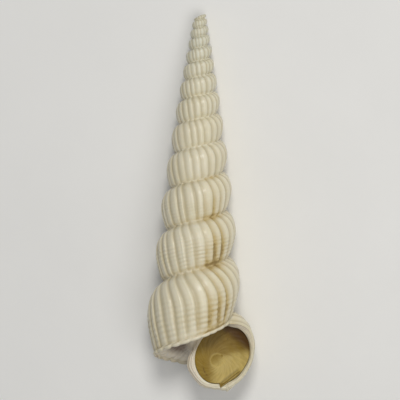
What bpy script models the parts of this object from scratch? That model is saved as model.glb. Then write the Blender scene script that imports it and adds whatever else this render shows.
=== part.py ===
"""A wentletrap shell lying on its side with its mouth up, and the horny lid (operculum) that shuts it.

The shell is a tube coiled down an axis. Each axial section is the one a turn before it, grown by a fixed
ratio. Lengths here are millimetres in the shell's own frame: +X is the side the mouth is on, +Y the tip,
+Z forwards, out of the mouth. A drop is a distance down the axis from where the spire would taper to
nothing, a radius is a distance from the axis, and a turn counts whorls, 0 on the +X side just before the
mouth and growing towards it. lay_down() then sets the shell on the floor, in metres.
"""

import math

import bmesh
import bpy
from mathutils import Matrix, Vector

MM = 0.001

# The coil
GROWTH = 1.204  # each turn is this much larger than the one before
SEAM_DROP = 43.8  # drop of the seam between whorls at turn 0
SEAM_SLOPE = 0.106  # that seam's radius over its drop
SPIRE_SLOPE = 0.152  # the same near the tip, because the spire's outline bows out
SLOPE_TURNS = 3.3  # turns over which the one slope becomes the other
CORD_SLOPE = 0.113  # the same on the cord round the base, at turn 1
FIRST_TURN = -13.4  # what came before has worn off
FIRST_HEIGHT = 0.2  # the share of its height that the first whorl starts with
LAST_TURN = 0.075  # the mouth
CORD_LAG = 0.016  # the last whorl hangs lower by this share of its drop, on the cord round the base
CORD_SAG = 0.016  # and by this much more where the cord passes the front
TIP_DROP = 4.40  # of the worn tip, on the axis
TIP_SLANT = 0.45  # it is worn on a slant, higher on the +X side
TIP_ROUND = 0.35  # and rounded: its fall over its radius squared

# The whorl's side
BULGE = 0.177  # how far it stands out of its chord, over the chord
BULGE_SKEW = 0.745  # under 1: fullest above the middle
LAST_BULGE = 0.162  # the last whorl's bulge
TIP_RIBS = 14.0  # ribs a turn at the tip, and at the mouth
MOUTH_RIBS = 25.0
RIB_HEIGHT = 0.033  # crest to groove, over the seam's radius
RIB_LEAN = 0.07  # turns that a rib's top runs ahead of its foot
CORD_HEIGHT = 0.14  # how far the cord round the base stands out
BASE_BULGE = 0.90  # the base fills out downwards as it nears the lip
BASE_BULGE_TURNS = 0.35  # over this much of a turn

# The mouth, as (sideways from the axis, drop, forwards of the axis)
LIP_EDGE = (
    (5.94, 45.39, 2.00),
    (7.08, 46.19, 1.80),
    (7.64, 47.98, 1.70),
    (7.56, 49.31, 1.60),
    (7.18, 50.84, 1.50),
    (6.11, 52.63, 1.40),
    (4.86, 53.65, 1.30),
    (4.40, 54.16, 1.25),
    (3.07, 54.06, 1.20),
    (1.67, 53.87, 1.10),
    (0.87, 53.59, 1.00),
    (0.07, 52.87, 1.00),
    (-0.87, 51.57, 1.00),
    (-1.09, 51.00, 1.00),
)
LIP_CORNER = 8  # this many points down the lip's edge, the cord ends in its lowest corner
INNER_LIP = (
    (2.00, 44.90, 1.02),
    (1.10, 46.00, 0.90),
    (0.35, 47.10, 0.80),
    (-0.15, 48.30, 0.80),
    (-0.95, 49.80, 0.85),
)
LIP_SKEW = 0.78  # under 1: a whorl's lines reach the lip lower than evenly
FLARE_TURNS = 0.22  # the lip leaves the coil over this much of a turn
LIP_CREST = 0.30  # its rounded crest stands this far forward at the lower right, and not at all opposite
MOUTH_CENTRE = (3.53, 49.57)  # sideways and drop
MOUTH_FORWARD = 1.30
MOUTH_RADII = (3.61, 3.35, 3.45, 3.63, 3.93, 3.81, 3.59, 3.45, 3.60, 3.80, 3.95, 3.85)  # every 30 degrees
THROAT_DEPTH = 1.5
THROAT_TAPER = 0.06  # the share of its radius that the throat loses each millimetre
THROAT_RISE = 0.30  # and how it curves up towards the coil: its rise over its depth squared

# The hollow inside, at turn 0: an upright oval
HOLLOW_CENTRE = (3.30, 47.60)
HOLLOW_RADII = (2.80, 3.90)
HOLLOW_TURNS = 3.5
THROAT_BEND = ((-0.07, 0.45), (-0.115, 0.85))  # turns where this share of the throat follows the coil
BEND_END = -0.16

# The lid
LID_GAP = 0.30  # between its rim and the throat
LID_THICKNESS = 0.30
LID_DISH = 0.55  # its middle lies this far behind its rim
LID_DEPTH = 0.70  # its rim's mean depth in the mouth
LID_TILT = 0.12  # the rim's upper edge lies deeper: depth over height

# How the shell lies: rolled about its axis, and tipped down at the tip until the spire meets the floor
LIE_ROLL = math.radians(19.39)
LIE_PITCH = math.radians(-6.34)

# Facets
SIDE_ROWS = (0.0, 0.10, 0.26, 0.46, 0.66, 0.84, 0.95)
BASE_ROWS = (0.05, 0.30, 0.65, 1.0)
LOOP_POINTS = 24
HOLLOW_STEPS = 12  # a turn


def smooth(x):
    """0 up to 0, 1 from 1 on, and an even S between them."""
    x = min(1.0, max(0.0, x))
    return x * x * (3 - 2 * x)


def mix(a, b, share):
    return a + (b - a) * share


def place(radius, turn, drop):
    angle = 2 * math.pi * turn
    return Vector((radius * math.cos(angle), -drop, radius * math.sin(angle)))


def spots(places):
    """Points from (sideways, drop, forwards)."""
    return [Vector((x, -drop, z)) for x, drop, z in places]


def ease(before, a, b, after, share):
    """A share of the way from a to b, on the smooth curve that also passes before and after."""
    slope_a, slope_b = (b - before) * 0.5, (after - a) * 0.5
    s, t = share, 1 - share
    return a * t * t * (1 + 2 * s) + slope_a * s * t * t + b * s * s * (1 + 2 * t) - slope_b * s * s * t


def along(points, share):
    """The point at this share of the length of a run of points, on a smooth curve through them."""
    ends = [0.0]
    for a, b in zip(points, points[1:]):
        ends.append(ends[-1] + (b - a).length)
    at = share * ends[-1]
    i = min(max(k for k, end in enumerate(ends) if end <= at + 1e-9), len(points) - 2)
    before, after = points[max(i - 1, 0)], points[min(i + 2, len(points) - 1)]
    return ease(before, points[i], points[i + 1], after, (at - ends[i]) / (ends[i + 1] - ends[i]))


def on_cord(turn):
    """1 where the seam is the cord round the base, 0 up the spire."""
    return smooth((turn - LAST_TURN) / 0.1 + 1)


def seam(turn):
    """Radius and drop of the seam above a whorl. From the mouth on it is the cord round the base."""
    lag = CORD_LAG * on_cord(turn) * (1 - smooth((turn - 0.7) / 0.35))
    sag = CORD_SAG * smooth(turn / 0.35) * (1 - smooth((turn - 0.42) / 0.4))
    drop = SEAM_DROP * GROWTH**turn * (1 + lag + sag)
    if turn < 0:
        slope = mix(SPIRE_SLOPE, SEAM_SLOPE, math.exp(turn / SLOPE_TURNS))
    else:
        slope = mix(SEAM_SLOPE, CORD_SLOPE, turn)
    return slope * drop, drop


def crown(point):
    """The height of the worn tip over a point."""
    return TIP_SLANT * point.x - TIP_DROP - TIP_ROUND * (point.x**2 + point.z**2)


def worn(point):
    """The point, or where the worn tip cuts it off."""
    point.y = min(point.y, mix(crown(point), point.y, 0.15))
    return point


def coil_side(turn, down, rib=0.0):
    """The whorl's side, down a share of its way from the seam above to the seam below. rib is 1 on a
    rib's crest and 0 in a groove."""
    (r0, d0), (r1, d1) = seam(turn), seam(turn + 1)
    down = 1 - (1 - down) * mix(FIRST_HEIGHT, 1, smooth(2 * (turn - FIRST_TURN)))
    chord = math.hypot(r1 - r0, d1 - d0)
    lift = mix(BULGE, LAST_BULGE, on_cord(turn + 1)) * chord * math.sin(math.pi * down**BULGE_SKEW)
    lift -= RIB_HEIGHT * r0 * (1 - rib) * math.sin(math.pi * (0.12 + 0.80 * down)) ** 0.5
    radius = mix(r0, r1, down) + lift * (d1 - d0) / chord
    return worn(place(radius, turn, mix(d0, d1, down) - lift * (r1 - r0) / chord))


def coil_base(turn, inward):
    """The base, in a share of its way from the cord to the foot of the inner lip."""
    radius, drop = seam(turn + 1)
    cord = place(radius + 0.7 * CORD_HEIGHT, turn, drop + 0.7 * CORD_HEIGHT)
    foot = along(spots(INNER_LIP + LIP_EDGE[-1:]), turn - LAST_TURN + 1)
    point = cord.lerp(foot, inward)
    point.y += 2 * CORD_HEIGHT * min(1.0, inward / 0.05) * (1 - inward)
    near_lip = smooth((turn - LAST_TURN) / BASE_BULGE_TURNS + 1)
    point.y -= BASE_BULGE * near_lip * math.sin(math.pi * inward**1.2)
    return point


def lip_edge(share, part):
    """The lip's outer edge: its "side" part runs from the seam to the cord, its "base" part on inwards."""
    radius, drop = seam(LAST_TURN)
    run = [place(radius, LAST_TURN, drop)] + spots(LIP_EDGE)
    if part == "side":
        return along(run[: LIP_CORNER + 1], share**LIP_SKEW)
    return along(run[LIP_CORNER:], share)


def flared(coil, turn, share, part, *rib):
    """A point of the coil, moved by as much of the lip's flare as reaches this turn."""
    reach = 2 * smooth((turn - LAST_TURN + FLARE_TURNS) / (2 * FLARE_TURNS))
    return coil(turn, share, *rib) + (lip_edge(share, part) - coil(LAST_TURN, share)) * reach


def lean(turn, down):
    """Turns that a rib runs ahead of its middle. The lean fades out towards the mouth."""
    return RIB_LEAN * (0.5 - down) * (1 - smooth((turn - LAST_TURN + 0.25) / 0.25))


def columns():
    """(turn, rib) of each column of points: on each crest and in each groove. One column is at the mouth
    and one a whole turn before it."""
    length = LAST_TURN - FIRST_TURN
    gain = (MOUTH_RIBS - TIP_RIBS) / (2 * length)
    found = []
    for half in range(int(2 * (TIP_RIBS * length + gain * length**2)) + 1):
        turn = FIRST_TURN + (math.sqrt(TIP_RIBS**2 + 2 * gain * half) - TIP_RIBS) / (2 * gain)
        found.append([turn, float(half % 2)])
    for fixed in (LAST_TURN - 1, LAST_TURN):
        min(found, key=lambda column: abs(column[0] - fixed))[0] = fixed
    return [tuple(column) for column in found if column[0] <= LAST_TURN]


class Skin:
    """A closed surface, built from rows of points."""

    def __init__(self):
        self.bm = bmesh.new()

    def row(self, points):
        return [self.bm.verts.new(point) for point in points]

    def face(self, *corners):
        corners = list(dict.fromkeys(corners))
        if len(corners) > 2:
            self.bm.faces.new(corners)

    def strip(self, row_a, row_b, shut=False):
        """Faces between two rows of as many points."""
        for i in range(len(row_a) if shut else len(row_a) - 1):
            j = (i + 1) % len(row_a)
            self.face(row_a[i], row_a[j], row_b[j], row_b[i])

    def stitch(self, row_a, at_a, row_b, at_b):
        """Triangles between two rows whose points lie at unlike places, at_a and at_b, along them."""
        i = j = 0
        while i < len(row_a) - 1 or j < len(row_b) - 1:
            next_a = at_a[i + 1] if i < len(row_a) - 1 else math.inf
            next_b = at_b[j + 1] if j < len(row_b) - 1 else math.inf
            if next_a <= next_b:
                self.face(row_a[i], row_a[i + 1], row_b[j])
                i += 1
            else:
                self.face(row_a[i], row_b[j + 1], row_b[j])
                j += 1

    def cap(self, row, tip):
        tip = self.bm.verts.new(tip)
        for a, b in zip(row, row[1:] + row[:1]):
            self.face(a, b, tip)

    def mesh(self, name):
        bmesh.ops.triangulate(self.bm, faces=self.bm.faces[:])
        bmesh.ops.recalc_face_normals(self.bm, faces=self.bm.faces[:])
        if self.bm.calc_volume(signed=True) < 0:
            bmesh.ops.reverse_faces(self.bm, faces=self.bm.faces[:])
        for face in self.bm.faces:
            face.smooth = True
        mesh = bpy.data.meshes.new(name)
        self.bm.to_mesh(mesh)
        self.bm.free()
        return mesh


def middle(row):
    return sum((vert.co for vert in row), Vector()) / len(row)


def coil_sides(skin, cols):
    """The sides of all whorls, as one column of points for each of cols."""
    sides = []
    for turn, rib in cols:
        sides.append(skin.row(flared(coil_side, turn + lean(turn, d), d, "side", rib) for d in SIDE_ROWS))
    for a, b in zip(sides, sides[1:]):
        skin.strip(a, b)
    return sides


def sew_whorls(skin, turns, sides):
    """Joins the foot of each whorl to the seam row of the next. Returns how many points of the seam row
    are above the first whorl."""
    last = turns.index(LAST_TURN - 1)
    foot_at = [turn + lean(turn, SIDE_ROWS[-1]) + 1 for turn in turns]
    seam_at = [turn + lean(turn, 0) for turn in turns]
    first = next(i for i, at in enumerate(seam_at) if at >= foot_at[0])
    feet, seams = [side[-1] for side in sides], [side[0] for side in sides]
    skin.stitch(feet[: last + 1], foot_at[: last + 1], seams[first:], seam_at[first:])
    return first


def close_tip(skin, sides, first):
    rim = [side[0] for side in sides[: first + 1]] + sides[0][:0:-1]
    inner = skin.row(vert.co.lerp(middle(rim), 0.4) for vert in rim)
    for vert in inner:
        vert.co.y = crown(vert.co) + 0.02
    skin.strip(rim, inner, shut=True)
    top = middle(inner)
    skin.cap(inner, Vector((top.x, crown(top) + 0.02, top.z)))


def last_base(skin, turns, sides):
    """The base of the last whorl: rows of points from the cord in to the foot of the inner lip."""
    start = turns.index(LAST_TURN - 1)
    cord = [flared(coil_base, turn, 0.0, "base") for turn in turns[start:]]
    rows = [[side[-1] for side in sides[start:]], [sides[-1][0]] + skin.row(cord[1:])]
    for inward in BASE_ROWS:
        rows.append(skin.row(flared(coil_base, turn, inward, "base") for turn in turns[start:]))
    for a, b in zip(rows, rows[1:]):
        skin.strip(a, b)
    return rows


def mouth_point(angle, depth, inset=0.0):
    """A point of the mouth's inner wall, this deep: angle 0 is on the +X side, and 90 degrees lowest."""
    at = (math.degrees(angle) / 30) % 12
    near = [MOUTH_RADII[(int(at) + step) % 12] for step in (-1, 0, 1, 2)]
    radius = ease(*near, at % 1) * (1 - THROAT_TAPER * depth) - inset
    drop = MOUTH_CENTRE[1] + radius * math.sin(angle) - THROAT_RISE * depth * depth
    return Vector((MOUTH_CENTRE[0] + radius * math.cos(angle), -drop, MOUTH_FORWARD - depth))


def angle_of(point):
    return math.atan2(-point.y - MOUTH_CENTRE[1], point.x - MOUTH_CENTRE[0])


def loop_angles():
    return [2 * math.pi * (i / LOOP_POINTS) - math.radians(60) for i in range(LOOP_POINTS)]


def round_lip(skin, sides, bases):
    """The lip, from its outer edge over a rounded crest to the throat. Returns the throat's first row."""
    edge = sides[-1] + [row[-1] for row in bases[1:]] + bases[-1][-2::-1] + [row[0] for row in bases[-2:1:-1]]
    ahead = [angle_of(vert.co) for vert in edge]
    for i in range(1, len(edge)):
        ahead[i] = ahead[i - 1] + max(0.0, math.remainder(ahead[i] - ahead[i - 1], 2 * math.pi))
    crest = skin.row(vert.co.lerp(mouth_point(angle, 0), 0.5) for vert, angle in zip(edge, ahead))
    for vert, angle in zip(crest, ahead):
        vert.co.z += LIP_CREST * (0.5 + 0.5 * math.cos(angle - math.radians(75)))
    skin.strip(edge, crest, shut=True)
    angles = loop_angles()
    throat = skin.row(mouth_point(angle, 0) for angle in angles)
    whole = 2 * math.pi
    crest_at, throat_at = ahead + [ahead[0] + whole], angles + [angles[0] + whole]
    skin.stitch(crest + crest[:1], crest_at, throat + throat[:1], throat_at)
    return throat


def hollow_row(turn):
    """Points of the hollow's wall where it follows the coil."""
    scale = GROWTH**turn
    radii = [HOLLOW_CENTRE[0] + HOLLOW_RADII[0] * math.cos(angle) for angle in loop_angles()]
    drops = [HOLLOW_CENTRE[1] + HOLLOW_RADII[1] * math.sin(angle) for angle in loop_angles()]
    return [place(radius * scale, turn, drop * scale) for radius, drop in zip(radii, drops)]


def hollow_out(skin, throat):
    """The throat, straight in from the mouth, and the hollow that it bends into."""
    rows = [throat]
    for depth in (THROAT_DEPTH / 2, THROAT_DEPTH):
        rows.append(skin.row(mouth_point(angle, depth) for angle in loop_angles()))
    straight = [vert.co.copy() for vert in rows[-1]]
    for turn, share in THROAT_BEND:
        rows.append(skin.row(a.lerp(b, share) for a, b in zip(straight, hollow_row(turn))))
    for step in range(int(HOLLOW_TURNS * HOLLOW_STEPS) + 1):
        rows.append(skin.row(hollow_row(BEND_END - step / HOLLOW_STEPS)))
    for a, b in zip(rows, rows[1:]):
        skin.strip(a, b, shut=True)
    skin.cap(rows[-1], middle(rows[-1]))


def shell_mesh():
    skin = Skin()
    cols = columns()
    turns = [turn for turn, rib in cols]
    sides = coil_sides(skin, cols)
    close_tip(skin, sides, sew_whorls(skin, turns, sides))
    throat = round_lip(skin, sides, last_base(skin, turns, sides))
    hollow_out(skin, throat)
    return skin.mesh("shell")


def lid_row(reach, behind):
    """Points round the lid: reach is 1 at its rim and 0 at its middle."""
    points = []
    for angle in loop_angles():
        rim = mouth_point(angle, LID_DEPTH, LID_GAP)
        centre = Vector((MOUTH_CENTRE[0], -MOUTH_CENTRE[1], rim.z))
        point = centre.lerp(rim, reach)
        point.z -= LID_TILT * (point.y - centre.y) + LID_DISH * (1 - reach * reach) + behind
        points.append(point)
    return points


def lid_mesh():
    skin = Skin()
    front = [skin.row(lid_row(reach, 0.0)) for reach in (0.25, 0.5, 0.75, 0.97)]
    edge = skin.row(lid_row(1.0, LID_THICKNESS / 2))
    back = [skin.row(lid_row(reach, LID_THICKNESS)) for reach in (0.97, 0.75, 0.5, 0.25)]
    rows = front + [edge] + back
    for a, b in zip(rows, rows[1:]):
        skin.strip(a, b, shut=True)
    skin.cap(rows[0], middle(rows[0]) - Vector((0, 0, LID_DISH / 16)))
    skin.cap(rows[-1], middle(rows[-1]) - Vector((0, 0, LID_DISH / 16)))
    return skin.mesh("operculum")


def lay_down(meshes):
    """Sets the shell on the floor, with the middle of its bounds over the origin, in metres."""
    lie = Matrix.Rotation(LIE_PITCH, 4, "X") @ Matrix.Rotation(LIE_ROLL, 4, "Y")
    for mesh in meshes:
        mesh.transform(Matrix.Scale(MM, 4) @ lie)
    points = [vert.co for mesh in meshes for vert in mesh.vertices]
    low = [min(point[axis] for point in points) for axis in range(3)]
    high = [max(point[axis] for point in points) for axis in range(3)]
    move = Matrix.Translation((-(low[0] + high[0]) / 2, -(low[1] + high[1]) / 2, -low[2]))
    for mesh in meshes:
        mesh.transform(move)


def add_node(mesh, colour, roughness, collection):
    material = bpy.data.materials.new(mesh.name)
    material.use_nodes = True
    shader = material.node_tree.nodes["Principled BSDF"]
    shader.inputs["Base Color"].default_value = (*colour, 1.0)
    shader.inputs["Roughness"].default_value = roughness
    mesh.materials.append(material)
    collection.objects.link(bpy.data.objects.new(mesh.name, mesh))


def main():
    for obj in list(bpy.data.objects):
        bpy.data.objects.remove(obj)
    collection = bpy.data.collections.new("wentletrap_shell")
    bpy.context.scene.collection.children.link(collection)
    shell, lid = shell_mesh(), lid_mesh()
    lay_down([shell, lid])
    add_node(shell, (0.66, 0.58, 0.46), 0.45, collection)
    add_node(lid, (0.33, 0.24, 0.08), 0.50, collection)


main()
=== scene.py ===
"""The looks of the wentletrap shell and its lid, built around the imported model.

The shell's surface follows the same laws of growth as its CAD solid, with its real ribs, spiral cords,
growth lines and lip. Lengths in the mesh code are millimetres in the shell's own frame: +X is the side the
mouth is on, +Y the tip, +Z forwards, out of the mouth. A drop is a distance down the axis from where the
spire would taper to nothing, a turn counts whorls, 0 on the +X side just before the mouth and growing
towards it. row_frame_move() takes the finished meshes to where the CAD lid lies, in metres.
"""

import math

import bmesh
import bpy
import numpy as np
from mathutils import Matrix, Vector


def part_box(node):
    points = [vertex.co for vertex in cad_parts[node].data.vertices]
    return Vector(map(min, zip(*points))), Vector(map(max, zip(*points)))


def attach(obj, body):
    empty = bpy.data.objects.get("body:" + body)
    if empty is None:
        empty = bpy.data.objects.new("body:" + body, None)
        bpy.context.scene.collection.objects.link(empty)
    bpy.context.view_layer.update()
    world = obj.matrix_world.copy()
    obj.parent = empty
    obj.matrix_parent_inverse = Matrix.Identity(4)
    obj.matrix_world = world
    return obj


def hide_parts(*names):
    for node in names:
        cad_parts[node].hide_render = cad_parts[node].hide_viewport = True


MM = 0.001
TAU = 2 * math.pi

# The coil, as in the CAD model
GROWTH = 1.204  # each turn is this much larger
SEAM_DROP = 43.8  # drop of the seam between whorls at turn 0
SEAM_SLOPE = 0.106  # that seam's radius over its drop
SPIRE_SLOPE = 0.152  # the same near the tip
SLOPE_TURNS = 3.3  # turns from the one to the other
CORD_SLOPE = 0.113  # the same on the cord round the base, at turn 1
FIRST_TURN = -13.4  # what came before has worn off
FIRST_HEIGHT = 0.2  # the share of its height that the first whorl starts with
LAST_TURN = 0.075  # the mouth
CORD_LAG = 0.016  # the cord round the base hangs lower by this share of its drop
CORD_SAG = 0.016  # and by this much more at the front
TIP_DROP = 4.40  # of the worn tip, on the axis
TIP_SLANT = 0.45  # it slants up to the +X side
TIP_ROUND = 0.35  # its fall over its radius squared
BULGE = 0.177  # how far a side stands out of its chord, over the chord
BULGE_SKEW = 0.745  # under 1: fullest above the middle
LAST_BULGE = 0.162  # the last whorl's bulge
TIP_RIBS = 14.0  # ribs a turn at the tip, and at the mouth
MOUTH_RIBS = 25.0
RIB_HEIGHT = 0.033  # crest to groove, over the seam's radius
CORD_HEIGHT = 0.14  # how far the cord round the base stands out
BASE_BULGE = 0.90  # the base fills out towards the lip
BASE_BULGE_TURNS = 0.35  # over this much of a turn

# The mouth, as in the CAD model: (sideways from the axis, drop, forwards of the axis)
LIP_EDGE = (
    (5.94, 45.39, 2.00),
    (7.08, 46.19, 1.80),
    (7.64, 47.98, 1.70),
    (7.56, 49.31, 1.60),
    (7.18, 50.84, 1.50),
    (6.11, 52.63, 1.40),
    (4.86, 53.65, 1.30),
    (4.40, 54.16, 1.25),
    (3.07, 54.06, 1.20),
    (1.67, 53.87, 1.10),
    (0.87, 53.59, 1.00),
    (0.07, 52.87, 1.00),
    (-0.87, 51.57, 1.00),
    (-1.09, 51.00, 1.00),
)
LIP_CORNER = 8  # this many points down it, the cord ends
INNER_LIP = (
    (2.00, 44.90, 1.02),
    (1.10, 46.00, 0.90),
    (0.35, 47.10, 0.80),
    (-0.15, 48.30, 0.80),
    (-0.95, 49.80, 0.85),
)
LIP_SKEW = 0.78  # under 1: a whorl's lines reach the lip lower than evenly
FLARE_TURNS = 0.22  # the lip leaves the coil over this much of a turn
LIP_CREST = 0.30  # its crest stands this far forward at CREST_FACING, and not at all opposite
CREST_FACING = math.radians(75)
MOUTH_CENTRE = (3.53, 49.57)  # sideways and drop
MOUTH_FORWARD = 1.30
MOUTH_RADII = (3.61, 3.35, 3.45, 3.63, 3.93, 3.81, 3.59, 3.45, 3.60, 3.80, 3.95, 3.85)  # every 30 degrees
THROAT_DEPTH = 1.5
THROAT_TAPER = 0.06  # the share of its radius lost each millimetre
THROAT_RISE = 0.30  # its rise towards the coil, over its depth squared

# The hollow inside, at turn 0, as in the CAD model: an upright oval
HOLLOW_CENTRE = (3.30, 47.60)
HOLLOW_RADII = (2.80, 3.90)
HOLLOW_TURNS = 3.5
THROAT_BEND = ((-0.07, 0.45), (-0.115, 0.85))  # turns where this share of the throat follows the coil
BEND_END = -0.16
HOLLOW_STEPS = 12  # a turn

# The CAD model's lid, and how the shell lies: rolled about its axis, and tipped down at the tip
CAD_LOOP_POINTS = 24
CAD_LID_REACHES = (0.25, 0.5, 0.75, 0.97)  # its rows, as shares of the way to its rim
LID_GAP = 0.30  # between its rim and the throat
LID_THICKNESS = 0.30
LID_DISH = 0.55  # its middle lies this far behind its rim
LID_DEPTH = 0.70  # its rim's mean depth in the mouth
LID_TILT = 0.12  # the rim's upper edge lies deeper: depth over height
LIE_ROLL = math.radians(19.39)
LIE_PITCH = math.radians(-6.34)
LIE = Matrix.Rotation(LIE_PITCH, 3, "X") @ Matrix.Rotation(LIE_ROLL, 3, "Y")

# The fine surface. A rib's phase runs from the groove on its older side, 0, to the next groove, 1. Down is
# a share of the way from the seam above a whorl to the seam below. A facing is a share of a turn on from
# the +X side. A pair is where something sets in and over how much more it comes to its full size, or the
# middle and the width of a bump.
FINE_TURN = -3.25  # from here on the points lie closer
FINE_PHASES = (0.0, 0.05, 0.10, 0.16, 0.22, 0.30, 0.45, 0.62, 0.78, 0.90)
PLAIN_PHASES = (0.0, 0.09, 0.24, 0.48, 0.72, 0.89)
FINE_ROWS = 70
PLAIN_ROWS = 22
SIDE_END = 0.955  # how far down the last row is
SEED = 11
RIB_SKEW = 0.62  # under 1: the crest is nearer the older side
RIB_CREST = 1.9  # higher: broader crests and narrower grooves
GROOVE_DEEPER = 1.20  # the grooves' depth over the CAD solid's
RIB_UNEVEN = 0.085  # how far a groove strays from its even place, in ribs
MOST_UNEVEN = 0.2  # the furthest that it may
DEPTH_UNEVEN = 0.18  # how far its depth strays, over the even depth
DEPTH_LIMITS = (0.6, 1.4)
NEXT_TONE = (0.8, 0.2)  # where a rib's colour gives way to the next rib's
FLATTER = 0.45  # the grooves lose this share of their depth
FLATTER_TURN = (-0.1, 0.15)  # towards the mouth
EDGE_PHASE = (0.22, 0.060)  # each rib has a thin raised edge here
EDGE_HEIGHT = 0.36  # its height over the grooves' depth
EDGE_UNEVEN = (0.4, 1.2)  # the lowest and the highest edges, over that
EDGE_CUT = 0.4  # its loss between the spiral cords
SWEEP = 0.068  # turns that a rib's top runs ahead, on the last whorl
SPIRE_SWEEP = 0.034
SWEEP_TURN = (-2.0, 1.2)  # from the spire's sweep to the last whorl's
SWEEP_DOWN = 0.60  # the sweep is over by this far down
SWEEP_MEAN = 0.35  # this share of it is taken off all the way down
SWEEP_FADE = 0.25  # it fades out over these turns before the mouth
TRAIL = 0.007  # turns that a rib's foot lags behind
TRAIL_DOWN = (0.5, 0.5)
SPIRAL_CORDS = 13  # cords on a whorl's side
SPIRAL_HEIGHT = 0.060
SPIRAL_TURN = (-3.6, 2.0)  # where they show
SPIRAL_DOWN = (0.30, 0.35)
SPIRAL_SPREAD = 0.18  # on pale ribs they begin this much higher
SUTURE_DEPTH = 0.060  # how far each whorl tucks in at its seams, over the seam's radius
SUTURE_WIDTH = 0.07  # how far down that reaches
SPIRE_SUTURE_DEPTH = 0.190  # the same near the tip
SPIRE_SUTURE_WIDTH = 0.15
SUTURE_TURN = (-9.5, 5.5)  # from the tip's sutures to the last whorls'
SUTURE_FADE = 0.2  # and this is its fade before the mouth, in turns
SEAM_PALE = 0.012  # the pale line along a seam is this high
GROWTH_HEIGHT = 0.010  # of the fine threads along the ribs
VARIX_SHARE = 0.07  # the share of the ribs that are thick old lips
VARIX_PHASE = (0.24, 0.07)
VARIX_HEIGHT = 0.05
VARIX_TOP = (0.0, 0.08)  # how it comes and goes on the way down
VARIX_FOOT = (0.75, 0.2)
LIP_TURNS = 0.03  # the side turns white over this much of a turn
PAST_RIBS = 300.0  # the base's and the lip's rib numbers begin here
BULGED = 0.15  # the CAD facets on the floor cut this much off the real curve

# The last whorl's foot, the cord round the base and the base
LAST_STEP = 0.04  # its features come in over this much of a turn
WHOLE_FOOT = 0.75  # by the mouth its foot loses this share of the grooves
WHOLE_DOWN = (0.84, 0.08)
WHOLE_FACING = (0.25, 0.14)  # and gets them back here
CORD_NOTCH = 0.05  # depth of the groove above the cord
CORD_NOTCH_DOWN = (0.965, 0.022)
CORD_ROUND = 0.30  # the cord's radius
CORD_SWINGS = (-25, 105)  # it shows between these angles down from outwards
CORD_STEPS = 9
CORD_NOTCHES = 0.16  # how deep the ribs notch the cord on the far side
NEAR_NOTCHES = 0.40  # the same on the mouth's side, over that
NEAR_FACING = (0.28, 0.14)  # where the one gives way to the other
NOTCH_FADE = 0.2  # turns before 0 over which they fade out
BASE_STEPS = 26
BASE_GROWTH = 40  # rib numbers a turn, on the base
FURROW_DEPTH = 0.55  # of the furrow in the base, beside the inner lip
FURROW_FACING = (0.575, 0.085)
FURROW_INWARD = (0.55, 0.20)
# how much painted shade the furrow gets
FURROW_SHADE = 0.75
SWELL_HEIGHT = 0.30  # the fold outside it stands out this far
SWELL_FACING = (0.575, 0.13)
SWELL_INWARD = (0.18, 0.11)
BASE_FOLDS = 1.2  # folds run in from the cord's notches, this deep over them
BASE_FOLDS_END = 0.5  # how far inward they reach
RADIAL_LINES = 41  # a turn
RADIAL_HEIGHT = 0.040
BASE_RINGS = ((6.5, 0.045), (15, 0.020))  # rings on the base, and their height

# The lip and the throat. A facing here is an angle round the mouth: 0 on the +X side and 90 degrees lowest.
WIDER = 0.34  # the visible mouth is this much wider
WIDER_FACING = math.radians(-52)  # at the upper right
WIDER_WIDTH = 0.65
LIP_STEPS = 16
WIDEST_LIP = 1.0  # its layers stand out more up to this width
LAMINAE = 3.5  # layers of growth across the lip
LAMINA_HEIGHT = 0.060
LIP_UNEVEN = 0.03
LIP_GROWTH = 9  # rib numbers a radian
WHITE_FACING = math.radians(40)  # the lip is white about here, and base-grey opposite
GLOSSY_FACING = (math.radians(125), 0.55)  # the glossy inner lip
THROAT_POINTS = 120
THROAT_DEPTHS = (0.10, 0.22, 0.34, 0.46, 0.60, 0.9)
SEAT_DEPTH = 0.09  # the lid sits in a shallow seat in the throat
SEAT_AT = (0.40, 0.25)  # its middle depth and width

# Golden dirt, thickest right of the front
STAIN_FACING = (0.158, 0.060)
STAIN_TURN = (-3.6, 1.5)
STAIN_FOOT = (0.86, 0.10)  # by the seam below
STAIN_TOP = 0.055  # by the seam above
STAIN_LOW = (0.30, 0.5)  # low on the side
STAIN_ELSEWHERE = 0.12  # how much there is elsewhere
STAIN_ELSEWHERE_TURN = (-5.0, 3.0)

# The lid, as it shows
SHOWN_LID_DEPTH = 0.38  # it touches the mouth's wall, where the CAD lid leaves a gap
SHOWN_LID_GAP = 0.02 - SEAT_DEPTH
LID_POINTS = 180
LID_STEPS = 44
LID_RADIUS = 3.6
FRONT_RIM = 0.985  # the front's last row, over the way to the rim
BACK_REACHES = (0.97, 0.9, 0.8, 0.65, 0.5, 0.35, 0.2, 0.08)
RIM_PLAIN = (0.9, 0.08)  # near its rim the front has no relief
NUCLEUS = (2.89, 50.17)  # where the lid began to grow: sideways and drop
NUCLEUS_RADIUS = 0.88  # of the raised ring round it
RING_HEIGHT = 0.045
RING_WIDTH = 0.12
PIT_DEPTH = 0.05  # of the dip inside the ring
PIT_RADIUS = 0.45
LID_LINES = 26  # curved growth lines, a turn
LINE_CURVE = 0.9  # how fast they turn on their way out
LINE_HEIGHT = 0.008
LINE_FROM = (0.9, 0.8)
LID_WHORL = 1.15  # width of the lid's own flat whorls
LID_WHORL_HEIGHT = 0.010
LID_WHORL_FROM = (1.0, 0.6)
CRACKS_FACING = math.radians(-139)  # a few dark cracks lie this way from the nucleus
CRACKS_WIDTH = 0.33
CRACKS_OUT = (2.2, 0.08)  # this far from it
CRACKS_SLANT = 0.6
FOLD_FACING = math.radians(50.9)  # the straight fold is square to this angle
FOLD_OUT = 3.12  # its distance from the mouth's centre
FOLD_WIDTH = 0.17
FOLD_HEIGHT = 0.24
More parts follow.
